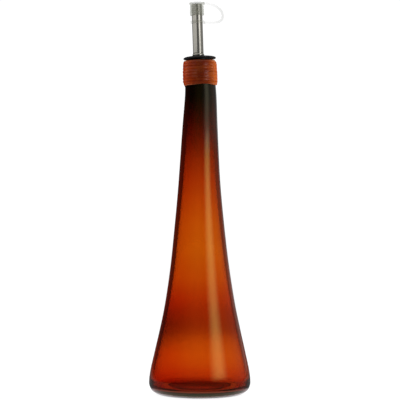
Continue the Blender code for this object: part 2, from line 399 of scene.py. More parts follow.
soften_cloth(hang_lamp("soft_box", SOFT_BOX_ANGLE, SOFT_BOX_DISTANCE, SOFT_BOX_WIDTH,
                       SOFT_BOX_FOOT, SOFT_BOX_TOP, SOFT_BOX_RADIANCE))

# %% Reflector
REFLECTOR_ANGLE = math.radians(-72)
REFLECTOR_DISTANCE = 0.2
REFLECTOR_WIDTH = 0.52
REFLECTOR_FOOT = 0.306
REFLECTOR_TOP = 0.42
REFLECTOR_RADIANCE = 0.46
REFLECTOR_FOLD = 0.25
FOLD_CRISPNESS = 20.0


def fold_corner(lamp):
    """Turn the inner lower corner of a reflector away, so that the glass below doesn't mirror it."""
    lamp.data.use_nodes = True
    board = Nodes(lamp.data.node_tree, "Emission")
    across, height, _ = board.parts(board.node("ShaderNodeNewGeometry", output="Parametric"))
    past_fold = height + (1 - across) - REFLECTOR_FOLD
    board.feed("Strength", past_fold.math("MULTIPLY", FOLD_CRISPNESS, clamp=True))


fold_corner(hang_lamp("reflector", REFLECTOR_ANGLE, REFLECTOR_DISTANCE, REFLECTOR_WIDTH,
                      REFLECTOR_FOOT, REFLECTOR_TOP, REFLECTOR_RADIANCE))

# %% Side lamps
SIDE_LAMP_ANGLE = math.radians(111)
SIDE_LAMP_DISTANCE = 0.6
SIDE_LAMP_WIDTH = 0.6
SIDE_LAMP_FOOT = 0.0
SIDE_LAMP_TOP = 0.6
LEFT_LAMP_RADIANCE = 2.5
RIGHT_LAMP_RADIANCE = 4.6

for side, radiance in ((-1, LEFT_LAMP_RADIANCE), (1, RIGHT_LAMP_RADIANCE)):
    side_lamp = hang_lamp("side_lamp", side * SIDE_LAMP_ANGLE, SIDE_LAMP_DISTANCE, SIDE_LAMP_WIDTH,
                          SIDE_LAMP_FOOT, SIDE_LAMP_TOP, radiance)
    side_lamp.visible_glossy = False

# %% [markdown]
# ## Small helpers for modelling
#
# Round pieces are turned, as on a lathe: half of the outline is drawn point by point by extruding one
# corner, and then spun round. An operator works on whatever is selected, so each piece starts with
# nothing selected. A finished piece keeps its place in its mesh, with its object at the origin.

# %% Draw an outline
MERGE = 0.004 * MM


def select_only(*pieces):
    bpy.ops.object.select_all(action="DESELECT")
    for piece in pieces:
        piece.select_set(True)
    bpy.context.view_layer.objects.active = pieces[0]


def start_corner(name, radius, height):
    """A piece that is a single corner, in edit mode, ready to be extruded into an outline."""
    bpy.ops.object.select_all(action="DESELECT")
    bpy.ops.mesh.primitive_plane_add(size=MM, location=(0.0, 0.0, 0.0))
    piece = bpy.context.object
    piece.name = piece.data.name = name
    bpy.ops.object.mode_set(mode="EDIT")
    bpy.ops.mesh.select_all(action="SELECT")
    bpy.ops.mesh.merge(type="CENTER")
    bpy.ops.transform.translate(value=(radius, 0.0, height))
    return piece


def draw_outline(name, outline, closed=False):
    """Draw half of a round piece's outline, in (radius, height), by extruding a corner along it."""
    piece = start_corner(name, *outline[0])
    path = [*outline, outline[0]] if closed else outline
    for before, after in zip(path, path[1:]):
        step = (after[0] - before[0], 0.0, after[1] - before[1])
        bpy.ops.mesh.extrude_vertices_move(TRANSFORM_OT_translate={"value": step})
    if closed:
        bpy.ops.mesh.select_all(action="SELECT")
        bpy.ops.mesh.remove_doubles(threshold=MERGE)
    print(name, "has an outline of", len(outline), "points")
    return piece


# %% Turn a piece
SHARP = math.radians(38)


def arc(centre, radii, start, end, steps):
    """Points of an elliptical arc in (radius, height); the angles are in degrees from outward."""
    points = []
    for step in range(steps + 1):
        angle = math.radians(start + (end - start) * step / steps)
        points.append((centre[0] + radii[0] * math.cos(angle), centre[1] + radii[1] * math.sin(angle)))
    return points


def close_up():
    """Merge the corners that meet, turn every face outward and leave edit mode."""
    bpy.ops.mesh.select_all(action="SELECT")
    bpy.ops.mesh.remove_doubles(threshold=MERGE)
    bpy.ops.mesh.normals_make_consistent(inside=False)
    bpy.ops.object.mode_set(mode="OBJECT")


def turn(name, outline, sides, closed=False):
    """A turned piece: its outline spun once round the upright axis and closed at the seam."""
    piece = draw_outline(name, outline, closed)
    bpy.ops.mesh.select_all(action="SELECT")
    bpy.ops.mesh.spin(steps=sides, angle=math.tau, center=(0, 0, 0), axis=(0, 0, 1))
    close_up()
    bpy.ops.object.shade_smooth_by_angle(angle=SHARP)
    return piece


# %% Dress a piece
body = "root"


def dress(piece, slot, surface, *nodes):
    """Ride on the bottle's body, wear the material and stand for the plain solids. The slot is not used.
    """
    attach(piece, body)
    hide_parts(*nodes)
    piece.data.materials.clear()
    piece.data.materials.append(surface.material)
    print(piece.name, "has", len(piece.data.polygons), "faces")


# %% [markdown]
# ## The blown glass
#
# The bottle is one gather of glass blown in a tall flare: a wide heel, a long drawn shoulder and a
# thick narrow neck. It could be made by subdividing the plain solid, but light bends through every
# face of it, so a finer one is turned from the same few measured widths. A smooth curve through them
# gives the outer side, and the inner side follows it at the wall's thickness. Blown glass is never
# quite true: the axis wanders by part of a millimetre, and the inner floor is higher at the back.

# %% Measured widths of the glass
BASE_RADIUS = 44.6 * MM
HEEL_RADIUS = 10.5 * MM
NECK_RADIUS = 13.45 * MM
NECK_FOOT = 274.0 * MM
LIP_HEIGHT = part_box("bottle")[1].z
SIDE = [
    (HEEL_RADIUS, BASE_RADIUS),
    (20.2 * MM, 43.55 * MM),
    (36.1 * MM, 40.1 * MM),
    (57.9 * MM, 35.1 * MM),
    (78.7 * MM, 30.85 * MM),
    (110.4 * MM, 26.0 * MM),
    (142.0 * MM, 22.45 * MM),
    (184.6 * MM, 18.5 * MM),
    (237.1 * MM, 15.35 * MM),
    (262.0 * MM, 13.9 * MM),
    (268.0 * MM, 13.6 * MM),
    (NECK_FOOT, NECK_RADIUS),
]
AXIS = [
    (0.0, 0.0),
    (58 * MM, 0.30 * MM),
    (79 * MM, 0.25 * MM),
    (110 * MM, 0.08 * MM),
    (142 * MM, -0.16 * MM),
    (185 * MM, -0.24 * MM),
    (210 * MM, -0.04 * MM),
    (237 * MM, 0.35 * MM),
    (262 * MM, 0.92 * MM),
    (274 * MM, 0.55 * MM),
    (LIP_HEIGHT, 0.15 * MM),
]


def curve_through(points, height):
    """A smooth curve through points of (height, value), level at its two ends."""
    slopes = [0.0]
    for below, above in zip(points, points[2:]):
        slopes.append((above[1] - below[1]) / (above[0] - below[0]))
    slopes.append(0.0)
    span = 0
    while span < len(points) - 2 and height > points[span + 1][0]:
        span += 1
    low, high = points[span], points[span + 1]
    length = high[0] - low[0]
    t = min(max((height - low[0]) / length, 0.0), 1.0)
    rise = t * t * (3.0 - 2.0 * t)
    bend = t * (1.0 - t) ** 2 * slopes[span] + t * t * (t - 1.0) * slopes[span + 1]
    return low[1] + (high[1] - low[1]) * rise + length * bend


def side_radius(height):
    """Outer radius of the glass between the heel and the neck."""
    return curve_through(SIDE, height)


print("radius at half height in mm:", round(side_radius(LIP_HEIGHT / 2) / MM, 2))

# %% Thickness of the wall and turn of the lip
BORE_RADIUS = 9.0 * MM
HEEL_WALL = 3.3 * MM
NECK_WALL = NECK_RADIUS - BORE_RADIUS
LIP_INSET = 1.4 * MM
LIP_TURN = 4.0 * MM


def wall(height):
    """Thickness of the glass, which grows a little from the heel to the neck."""
    t = (height - HEEL_RADIUS) / (NECK_FOOT - HEEL_RADIUS)
    return HEEL_WALL + (NECK_WALL - HEEL_WALL) * min(max(t, 0.0), 1.0) ** 2


def lip_inset(height):
    """How far the top of the neck draws in towards the lip."""
    t = max((height - (LIP_HEIGHT - LIP_TURN)) / LIP_TURN, 0.0)
    return LIP_INSET * t * t


print("wall at the neck in mm:", round(wall(NECK_FOOT) / MM, 2))

# %% [markdown]
# The outline starts in the middle of the inner floor, climbs the inner wall, crosses the rounded lip
# and comes down the outer side to the heel and the pushed-up base. The inner floor meets the wall in a
# wide flat corner, because the gather is thickest there. The spun shape is perfectly true, so its
# corners are then shifted a little, by the axis and by the floor's tilt.

# %% Turn the bottle
PUNT_RISE = 2.5 * MM
PUNT_EDGE = 28.0 * MM
LIP_ROUND = 0.8 * MM
FLOOR_HEIGHT = 6.3 * MM
FLOOR_RISE = 1.5 * MM
FLOOR_CORNER = 4.5 * MM
FLOOR_ROUND = 13.0 * MM
FLOOR_TILT = 0.036
FLOOR_TILT_ENDS = 36.0 * MM
GLASS_SIDES = 128
SIDE_STEPS = 70
INSIDE_STEPS = 60
FLOOR_STEPS = 10
CORNER_STEPS = 16
LIP_STEPS = 6
LIP_TURN_STEPS = 10
HEEL_STEPS = 14
PUNT_STEPS = 12


def inner_outline():
    """From the middle of the inner floor up to the bore."""
    floor_radius = side_radius(HEEL_RADIUS) - wall(HEEL_RADIUS) - FLOOR_ROUND
    corner = FLOOR_HEIGHT + FLOOR_CORNER
    outline = arc((0.0, FLOOR_HEIGHT), (floor_radius, FLOOR_RISE), 90, 8, FLOOR_STEPS)
    outline += arc((floor_radius, corner), (FLOOR_ROUND, FLOOR_CORNER), -90, -12, CORNER_STEPS)
    for step in range(1, INSIDE_STEPS + 1):
        height = corner + (NECK_FOOT - corner) * step / INSIDE_STEPS
        outline.append((side_radius(height) - wall(height), height))
    return outline


def outer_outline():
    """Over the lip and down the outer side to the middle of the base."""
    edge = (LIP_ROUND, LIP_ROUND)
    edge_height = LIP_HEIGHT - LIP_ROUND
    outer_edge = NECK_RADIUS - LIP_INSET - LIP_ROUND
    outline = arc((BORE_RADIUS + LIP_ROUND, edge_height), edge, 180, 90, LIP_STEPS)
    outline += arc((outer_edge, edge_height), edge, 90, 45, LIP_STEPS // 2)
    for step in range(1, LIP_TURN_STEPS + 1):
        height = LIP_HEIGHT - LIP_TURN * step / LIP_TURN_STEPS
        if height < edge_height:
            outline.append((NECK_RADIUS - lip_inset(height), height))
    for step in range(SIDE_STEPS + 1):
        height = NECK_FOOT + (HEEL_RADIUS - NECK_FOOT) * step / SIDE_STEPS
        outline.append((side_radius(height), height))
    stand_radius = BASE_RADIUS - HEEL_RADIUS
    outline += arc((stand_radius, HEEL_RADIUS), (HEEL_RADIUS, HEEL_RADIUS), -6, -90, HEEL_STEPS)
    outline += arc((0.0, 0.0), (PUNT_EDGE, PUNT_RISE), 0, 90, PUNT_STEPS)
    return outline


def make_untrue(piece):
    """Shift the glass with its wandering axis, and raise the inner floor towards the back."""
    for corner in piece.data.vertices:
        x, y, z = corner.co
        corner.co.x += curve_through(AXIS, z)
        inside = math.hypot(x, y) < side_radius(z) - HEEL_WALL / 2
        if inside and FLOOR_HEIGHT / 2 < z < FLOOR_TILT_ENDS:
            share = min((FLOOR_TILT_ENDS - z) / (FLOOR_TILT_ENDS - FLOOR_HEIGHT), 1.0)
            corner.co.z += FLOOR_TILT * y * share


bottle = turn("glass_bottle", inner_outline() + outer_outline(), GLASS_SIDES)
make_untrue(bottle)

# %% [markdown]
# ## Amber that deepens towards the neck
#
# Light reaches the eye through two walls, so it crosses the surface four times, and each crossing
# tints it by the root of the base colour. The base colour is therefore the root of the colour wanted.
# The tint is a ramp up the object: dark at the base, orange, a browner band, orange again, red and
# nearly black at the neck. The browner band is painted shade: a dark strip behind the bottle, seen
# through the glass. The left side is darkened as painted shade too, most at its foot and in the band,
# because the light falls from the right. The thick rims darken by themselves through absorption inside
# the wall. A tint on the mirror image makes the soft box golden, and a clear coat on the lit side of
# the dark neck and round the heel brightens the mirror images there.

# %% Tints of the glass
GLASS_TINTS = [
    (0.0, (0.562, 0.122, 0.050)),
    (15.4, (0.774, 0.204, 0.060)),
    (20.7, (0.808, 0.269, 0.060)),
    (29.5, (0.856, 0.332, 0.060)),
    (38.3, (0.834, 0.332, 0.060)),
    # from here to 82.3 mm the ramp dips into a browner band: painted shade, a dark strip behind the
    # bottle seen through the glass
    (47.1, (0.775, 0.295, 0.060)),
    (51.5, (0.699, 0.247, 0.060)),
    (55.9, (0.624, 0.201, 0.055)),
    (62.9, (0.613, 0.174, 0.050)),
    (73.5, (0.659, 0.181, 0.050)),
    (82.3, (0.747, 0.220, 0.050)),
    (99.9, (0.822, 0.328, 0.060)),
    (125.0, (0.820, 0.388, 0.060)),
    (150.0, (0.802, 0.361, 0.060)),
    (170.3, (0.751, 0.292, 0.060)),
    (187.9, (0.678, 0.225, 0.050)),
    (205.5, (0.565, 0.170, 0.045)),
    (223.1, (0.384, 0.098, 0.035)),
    (240.7, (0.217, 0.051, 0.025)),
    (263.0, (0.041, 0.019, 0.015)),
]
GLASS_WAVER = 5.0 * MM
CLOUD_SCALE = 14.0
LEFT_STARTS = (0.0, 0.9)
# painted shade on the left side of the glass, away from the light, and more at its foot and in the
# browner band
LEFT_SHADE = (0.98, 0.87, 1.0, 1.0)
LEFT_FOOT_SHADE = (1.0, 0.87, 1.0, 1.0)
LEFT_BAND_SHADE = (0.86, 0.97, 1.0, 1.0)
SHADED_FOOT_TOP = (75 * MM, 100 * MM)
SHADED_BAND_FOOT = (35 * MM, 50 * MM)
SHADED_BAND_TOP = (60 * MM, 80 * MM)
STREAK = (0.95, 0.86, 1.0, 1.0)
STREAK_SCALES = (150.0, 150.0, 5.0)
STREAK_SHOWS = (0.45, 0.7)
STREAK_WEIGHT = 0.5


def tint_glass(glass):
    """The glass's colour: a wavering ramp up the bottle with a band of painted shade, darker on the left
    as painted shade, with drawn streaks.
    """
    across, away, height = glass.parts(glass.place())
    clouds = glass.noise(glass.place(), CLOUD_SCALE, 1.0)
    height = height + (clouds - 0.5) * GLASS_WAVER
    top = GLASS_TINTS[-1][0]
    stops = [(level / top, colour) for level, colour in GLASS_TINTS]
    colour = glass.node("ShaderNodeValToRGB", {"stops": stops}, {"Fac": height / (top * MM)})
    reach = (across * across + away * away).math("SQRT")
    left = (across / reach * -1.0).between(*LEFT_STARTS)
    foot = 1 - height.between(*SHADED_FOOT_TOP)
    band = height.between(*SHADED_BAND_FOOT) * (1 - height.between(*SHADED_BAND_TOP))
    # painted shade: the left side is darkened, more at the foot and in the band
    colour = glass.mix(left, colour, LEFT_SHADE, "MULTIPLY")
    colour = glass.mix(left * foot, colour, LEFT_FOOT_SHADE, "MULTIPLY")
    colour = glass.mix(left * band, colour, LEFT_BAND_SHADE, "MULTIPLY")
    streaks = glass.noise(glass.stretch(glass.place(), STREAK_SCALES), 1.0, 2.0)
    weight = streaks.between(*STREAK_SHOWS) * STREAK_WEIGHT
    glass.feed("Base Color", glass.mix(weight, colour, STREAK, "MULTIPLY"))
    return across, height


# %% Gloss and depth of the glass
GLASS_SHINE = (1.0, 0.88, 0.22, 1.0)
NECK_SHINE = 0.85
NECK_SHINES = (205 * MM, 240 * MM)
LIT_SIDE = (0.5 * MM, 4.5 * MM)
HEEL_SHINE = 0.7
HEEL_SHINES = (7 * MM, 17 * MM)
GLASS_DENSITY = 252.0
GLASS_DEPTH = (0.889, 0.711, 0.0, 1.0)


def make_glass():
    glass = Surface("amber_glass", Roughness=0.0, IOR=1.5, Transmission_Weight=1.0,
                    Specular_Tint=GLASS_SHINE)
    across, height = tint_glass(glass)
    neck = height.between(*NECK_SHINES) * across.between(*LIT_SIDE) * NECK_SHINE
    heel = (1 - height.between(*HEEL_SHINES)) * HEEL_SHINE
    glass.feed("Coat Weight", neck + heel)
    depth = {"Color": GLASS_DEPTH, "Density": GLASS_DENSITY}
    absorb = glass.node("ShaderNodeVolumeAbsorption", None, depth, "Volume")
    output = glass.tree.nodes["Material Output"]
    glass.tree.links.new(absorb.socket, output.inputs["Volume"])
    return glass


dress(bottle, "glass", make_glass(), "bottle")

# %% [markdown]
# ## The lace round the neck
#
# One flat lace is wound down the neck in a close helix. A stack of rings would look machine made, so
# the lace's cross-section is drawn once and a Screw modifier winds it. Its two open ends are then
# found as the only open edges, and filled.

# %% Wind the lace
LACE_TURNS = 8
LACE_PITCH = 2.72 * MM
LACE_WIDTH = 2.68 * MM
LACE_THICKNESS = 1.2 * MM
LACE_ROUND = 0.24 * MM
LACE_CROWN = 0.05 * MM
LACE_CLEARANCE = 0.02 * MM
LACE_FOOT = 269.7 * MM
LACE_STEPS = 96
LACE_ROUND_STEPS = 5
LACE_START = math.pi / 2


def lace_outline():
    """The lace's cross-section: a flat strip with soft corners, lying against the neck."""
    low = LACE_FOOT
    high = LACE_FOOT + LACE_WIDTH
    inner = NECK_RADIUS + LACE_CLEARANCE
    outer = inner + LACE_THICKNESS
    soft = (LACE_ROUND, LACE_ROUND)
    outline = [(inner, low + LACE_ROUND / 2), (inner, high - LACE_ROUND / 2)]
    outline += arc((outer - LACE_ROUND, high - LACE_ROUND), soft, 100, 0, LACE_ROUND_STEPS)
    outline += [(outer + LACE_CROWN, (low + high) / 2)]
    outline += arc((outer - LACE_ROUND, low + LACE_ROUND), soft, 0, -100, LACE_ROUND_STEPS)
    return outline


def wind_lace():
    """Wind the cross-section up the neck from the back, and close both ends."""
    lace = draw_outline("neck_lace", lace_outline(), closed=True)
    bpy.ops.object.mode_set(mode="OBJECT")
    lace.data.transform(Matrix.Rotation(LACE_START, 4, "Z"))
    screw = lace.modifiers.new("wind", "SCREW")
    screw.angle = math.tau
    screw.screw_offset = LACE_PITCH
    screw.iterations = LACE_TURNS
    screw.steps = screw.render_steps = LACE_STEPS
    screw.use_merge_vertices = False
    select_only(lace)
    bpy.ops.object.modifier_apply(modifier="wind")
    bpy.ops.object.mode_set(mode="EDIT")
    bpy.ops.mesh.select_all(action="DESELECT")
    bpy.ops.mesh.select_non_manifold(extend=False)
    bpy.ops.mesh.edge_face_add()
    bpy.ops.mesh.select_all(action="SELECT")
    bpy.ops.mesh.normals_make_consistent(inside=False)
    bpy.ops.object.mode_set(mode="OBJECT")
    return lace


lace = wind_lace()
print("lace faces:", len(lace.data.polygons))

# %% [markdown]
# A hand-wound lace is uneven, so each corner of the mesh is nudged by where it lies in the winding.
# The turns waver and swell a little. The lowest ones arch up in front and behind and sag at the sides,
# and the lowest of all is slack. The lace is fullest from the second turn to the fourth from below,
# and its top turn draws in over the lip. Both ends grow narrow and thin at the back, where they are
# tucked away.

# %% Shape of the winding
LACE_WAVER = 0.10 * MM
LACE_RIPPLE = 0.06 * MM
LACE_SLACK = 0.3 * MM
LACE_ARCH = 0.48 * MM
LACE_ARCHED_TURNS = 3.5
LACE_SWELL = 0.07
LACE_FINE_SWELL = 0.04
LACE_FULLER = 0.42
LACE_FULL_AFTER = 1.3
LACE_THINS_OVER = 7.0
LACE_THINS_PAST_TOP = 3.0
LACE_TAIL = math.radians(150)
LACE_TAIL_THICKNESS = 0.35
LACE_END = math.radians(75)
LACE_END_WIDTH = 0.15
LACE_END_THICKNESS = 0.25
LIP_DRAW = 1.15
LIP_DRAW_TOP = LIP_HEIGHT + 0.3 * MM


def ease(value):
    """0 below 0, 1 above 1, and smooth on the way."""
    t = min(max(value, 0.0), 1.0)
    return t * t * (3.0 - 2.0 * t)


def fade_in(least, value):
    """From a least share up to the whole, smoothly."""
    return least + (1.0 - least) * ease(value)


def lace_rise(angle, along, wound):
    """How far a corner of the lace rises, at this angle, height in turns and number of turns wound."""
    rise = LACE_WAVER * math.sin(2 * angle + 0.7) + LACE_RIPPLE * math.sin(5 * angle + 1.3 * along)
    rise += LACE_SLACK * max(1.0 - along, 0.0) * math.sin(4 * angle + 0.4)
    rise -= LACE_ARCH * max(1.0 - along / LACE_ARCHED_TURNS, 0.0) * math.cos(2 * angle)
    offset = (along - wound) * LACE_PITCH
    upper_end = ease((LACE_TURNS - wound) * math.tau / LACE_END)
    lower_end = ease(wound * math.tau / LACE_END)
    rise -= (offset + LACE_WIDTH / 2) * (1.0 - LACE_END_WIDTH) * (1.0 - upper_end)
    rise -= (offset - LACE_WIDTH / 2) * (1.0 - LACE_END_WIDTH) * (1.0 - lower_end)
    return rise


def lace_swell(along, wound):
    """How thick the lace is there, as a share of its even thickness."""
    turned = math.tau * along
    swell = 1.0 + LACE_SWELL * math.sin(1.9 * turned / 2 + 1.0) + LACE_FINE_SWELL * math.sin(3.3 * turned)
    full = min(max(along / LACE_FULL_AFTER, 0.0), 1.0)
    full *= min(max((LACE_TURNS + LACE_THINS_PAST_TOP - along) / LACE_THINS_OVER, 0.0), 1.0)
    swell *= 1.0 + LACE_FULLER * full * full
    swell *= fade_in(LACE_TAIL_THICKNESS, turned / LACE_TAIL)
    swell *= fade_in(LACE_END_THICKNESS, (LACE_TURNS - wound) * math.tau / LACE_END)
    return swell


# %% Nudge the turns
def nudge_lace(piece):
    """Move each corner of the evenly wound lace to where the hand-wound one has it."""
    for corner in piece.data.vertices:
        x, y, z = corner.co
        angle = math.atan2(y, x)
        along = (z - LACE_FOOT - LACE_WIDTH / 2) / LACE_PITCH
        part_turn = ((angle - LACE_START) / math.tau) % 1.0
        wound = round(along - part_turn) + part_turn
        proud = (math.hypot(x, y) - NECK_RADIUS) * lace_swell(along, wound)
        radius = NECK_RADIUS + proud - LIP_DRAW * lip_inset(min(z, LIP_DRAW_TOP))
        x = radius * math.cos(angle) + curve_through(AXIS, z)
        corner.co = (x, radius * math.sin(angle), z + lace_rise(angle, along, wound))


LACE_SHARP = math.radians(60)
nudge_lace(lace)
select_only(lace)
bpy.ops.object.shade_smooth_by_angle(angle=LACE_SHARP)
print("lace size in mm:", [round(side / MM, 1) for side in lace.dimensions])

# %% [markdown]
# The lace is dyed leather or split cane: rust brown with a thin gloss. Its right side is painted
# lighter and golden, as painted light falling from that side, and painted highlights lie pale on its
# two upper corners and along the low edge of the lowest turn. A faint dark line runs along each turn.
# The fine streaks follow the winding, so the pattern is read along the angle round the neck and up it,
# and is stretched hard along the way the lace runs.

# %% Lace material
RUST_DARK = (0.36, 0.028, 0.002, 1.0)
RUST = (0.64, 0.070, 0.006, 1.0)
RUST_PALE = (0.78, 0.15, 0.02, 1.0)
# painted light: the lighter, golden colour of the lace's right side, where the light falls
RUST_LIT_RIGHT = (0.66, 0.16, 0.015, 1.0)
# painted highlight: the pale colour where light catches the upper corners and the low edge
RUST_HIGHLIGHT = (0.85, 0.42, 0.20, 1.0)
FINE_STREAKS = (60, 1800.0, 0.0)
FINE_SPREAD = (0.30, 0.70)
BROAD_TONES = (15, 330.0, 5.0)
BROAD_SPREAD = (0.35, 0.65)
BLOTCH_SCALE = 160.0
BLOTCH_SPREAD = (0.45, 0.75)
BLOTCH_WEIGHT = 0.45
LIT_RIGHT_SIDE = (4 * MM, 14 * MM)
LIT_RIGHT_WEIGHT = 0.6
DARK_LINE = (0.30, 0.5)
DARK_LINE_WEIGHT = 0.2
LACE_TOP = LACE_FOOT + LACE_TURNS * LACE_PITCH + LACE_WIDTH
# where the painted highlights lie: the top of the lace, its two upper corners and the low edge of the
# lowest turn
HIGHLIGHT_TOP = (LACE_TOP - 3.4 * MM, LACE_TOP - 1.6 * MM)
HIGHLIGHT_CORNERS = (9.5 * MM, 13 * MM)
HIGHLIGHT_CORNER_WEIGHT = 0.75
HIGHLIGHT_FRONT_WEIGHT = 0.1
HIGHLIGHT_WEIGHT = 0.7
LOW_EDGE_STARTS = (0.75, 0.9)
LOW_EDGE_ENDS = (0.9, 1.05)
LOW_EDGE_STREAKS = (0.3, 0.6)
LOW_EDGE_HIGHLIGHT = 0.6
LACE_RELIEF = 0.05 * MM


def wound_place(surface, angle, climb, scales):
    """A pattern's place on the wound lace: along it, across it, and which draw of the pattern it is."""
    along, across, draw = scales
    place = {0: angle * (NECK_RADIUS * along), 1: climb * across, 2: draw}
    return surface.node("ShaderNodeCombineXYZ", None, place)


def lace_highlights(across, height, turn_place, streaks):
    """Painted highlights on the lace: at its two upper corners, and along the low edge of the lowest
    turn.
    """
    corners = across.math("ABSOLUTE").between(*HIGHLIGHT_CORNERS)
    highlights = height.between(*HIGHLIGHT_TOP) * (corners * HIGHLIGHT_CORNER_WEIGHT + HIGHLIGHT_FRONT_WEIGHT)
    lit_low_edge = turn_place.between(*LOW_EDGE_STARTS) * (1 - turn_place.between(*LOW_EDGE_ENDS))
    return highlights + lit_low_edge * streaks.between(*LOW_EDGE_STREAKS) * LOW_EDGE_HIGHLIGHT


def make_lace_surface():
    rust = Surface("rust_lace", Specular_IOR_Level=0.0, Coat_Weight=0.6, Coat_Roughness=0.16)
    across, away, height = rust.parts(rust.place())
    angle = away.math("ARCTAN2", across)
    climb = height - angle * (LACE_PITCH / math.tau)
    turn_place = (climb - LACE_FOOT) / LACE_PITCH
    streaks = rust.noise(wound_place(rust, angle, climb, FINE_STREAKS), 1.0, 4.0, 0.6)
    tones = rust.noise(wound_place(rust, angle, climb, BROAD_TONES), 1.0, 1.0)
    blotches = rust.noise(rust.place(), BLOTCH_SCALE, 2.0, 0.5)
    dark_line = (turn_place.math("FRACT") - 0.5).math("ABSOLUTE").between(*DARK_LINE)
    shade = streaks.between(*FINE_SPREAD) * 0.5 + tones.between(*BROAD_SPREAD) * 0.5
    colour = rust.mix(shade, RUST_DARK, RUST)
    colour = rust.mix(blotches.between(*BLOTCH_SPREAD) * BLOTCH_WEIGHT, colour, RUST_PALE)
    # painted light: the right side is made lighter and golden
    colour = rust.mix(across.between(*LIT_RIGHT_SIDE) * LIT_RIGHT_WEIGHT, colour, RUST_LIT_RIGHT)
    colour = rust.mix(dark_line * DARK_LINE_WEIGHT, colour, RUST_DARK)
    highlights = lace_highlights(across, height, turn_place, streaks)
    # painted highlights on the upper corners and along the low edge
    rust.feed("Base Color", rust.mix(highlights * HIGHLIGHT_WEIGHT, colour, RUST_HIGHLIGHT))
    rust.feed("Roughness", streaks * 0.2 + 0.32)
    rust.bump(streaks + blotches * 0.5, LACE_RELIEF, 0.6)
    return rust


dress(lace, "lace", make_lace_surface(), "neck_wrap")

# %% [markdown]
# ## The stopper
#
# The black rubber stopper is a tapered plug under a domed flange, whose soft rim droops. It is turned
# like the bottle. Its hole for the spout is off centre, so it is cut afterwards with a Boolean. The
# whole pourer leans a little, as one that was pushed in by hand, and the flange gives way on one side.

# %% Make the stopper
POURER_LEAN = math.radians(-1.85)
POURER_PLACE = (0.0, 0.0, LIP_HEIGHT)
SPOUT_OFFSET = -1.0 * MM
SPOUT_RADIUS = 4.65 * MM
FLANGE_RADIUS = 14.25 * MM
FLANGE_FOOT = 1.3 * MM
FLANGE_TOP = 2.9 * MM
FLANGE_DOME = 1.0 * MM
FLANGE_ROUND = 0.65 * MM
FLANGE_RIM = FLANGE_RADIUS - FLANGE_ROUND
FLANGE_DROOP = 0.5 * MM
FLANGE_SAG = 0.1 * MM
FLANGE_UNDERSIDE = (0.93, 0.86, 0.79, 0.72)
PLUG_RADIUS = 8.5 * MM
PLUG_END_RADIUS = 8.0 * MM
PLUG_LENGTH = 16.0 * MM
PLUG_CHAMFER = 1.0 * MM
PLUG_FILLET = 0.5 * MM
HOLE_CLEARANCE = 0.1 * MM
HOLE_SIDES = 64
TURNED_SIDES = 96


def settle(piece, location=(0, 0, 0), lean=0.0):
    """Lean and move a piece, then bake that into its mesh."""
    piece.location = location
    piece.rotation_euler = (0.0, lean, 0.0)
    select_only(piece)
    bpy.ops.object.transform_apply(location=True, rotation=True, scale=True)


def combine(piece, other, operation):
    """Cut another piece out of this one, or join it on, with a Boolean."""
    boolean = piece.modifiers.new("combine", "BOOLEAN")
    boolean.operation = operation
    boolean.object = other
    select_only(piece)
    bpy.ops.object.modifier_apply(modifier="combine")
    bpy.data.objects.remove(other)


def rim_outline(radius, foot, top, edge, steps):
    """The outer side of a disc, with a rounded edge at its top and another at its foot."""
    outline = arc((radius - edge, top - edge), (edge, edge), 90, 0, steps)
    return outline + arc((radius - edge, foot + edge), (edge, edge), 0, -90, steps)


def stopper_outline():
    """Over the domed flange, back along its underside and down the plug; the rim droops."""
    flange = arc((0.0, FLANGE_TOP), (FLANGE_RIM, FLANGE_DOME), 90, 5, 12)
    flange += rim_outline(FLANGE_RADIUS, FLANGE_FOOT, FLANGE_TOP, FLANGE_ROUND, 6)
    flange += [(FLANGE_RIM * part, FLANGE_FOOT) for part in FLANGE_UNDERSIDE]
    outline = [(radius, height - FLANGE_DROOP * (radius / FLANGE_RIM) ** 2) for radius, height in flange]
    fillet = (PLUG_FILLET, PLUG_FILLET)
    outline += arc((PLUG_RADIUS + PLUG_FILLET, FLANGE_FOOT - PLUG_FILLET), fillet, 90, 180, 3)
    outline += [(PLUG_END_RADIUS, PLUG_CHAMFER - PLUG_LENGTH)]
    outline += [(PLUG_END_RADIUS - PLUG_CHAMFER, -PLUG_LENGTH), (0.0, -PLUG_LENGTH)]
    return outline


def cut_hole(piece):
    """Cut the hole for the spout, right through and off centre."""
    bpy.ops.object.select_all(action="DESELECT")
    bpy.ops.mesh.primitive_cylinder_add(vertices=HOLE_SIDES, radius=SPOUT_RADIUS + HOLE_CLEARANCE,
                                        depth=4 * PLUG_LENGTH, location=(SPOUT_OFFSET, 0.0, 0.0))
    combine(piece, bpy.context.object, "DIFFERENCE")
    bpy.ops.object.shade_smooth_by_angle(angle=SHARP)


def make_stopper():
    stopper = turn("rubber_stopper", stopper_outline(), TURNED_SIDES)
    cut_hole(stopper)
    for corner in stopper.data.vertices:
        reach = math.hypot(corner.co.x, corner.co.y) / FLANGE_RIM
        if corner.co.z > 0.0:
            corner.co.z += FLANGE_SAG * reach * corner.co.x / FLANGE_RIM
    settle(stopper, POURER_PLACE, POURER_LEAN)
    return stopper


# %% [markdown]
# Rubber is nearly black, with a fine grain and faint grey patches where it has been handled. The
# patches are still so dark that they show mainly by their gloss.

# %% Rubber
RUBBER_DARK = (0.006, 0.006, 0.007, 1)
RUBBER_GREY = (0.013, 0.013, 0.015, 1)
RUBBER_GRAIN = 900.0
RUBBER_PATCHES = 90.0
RUBBER_RELIEF = 0.03 * MM


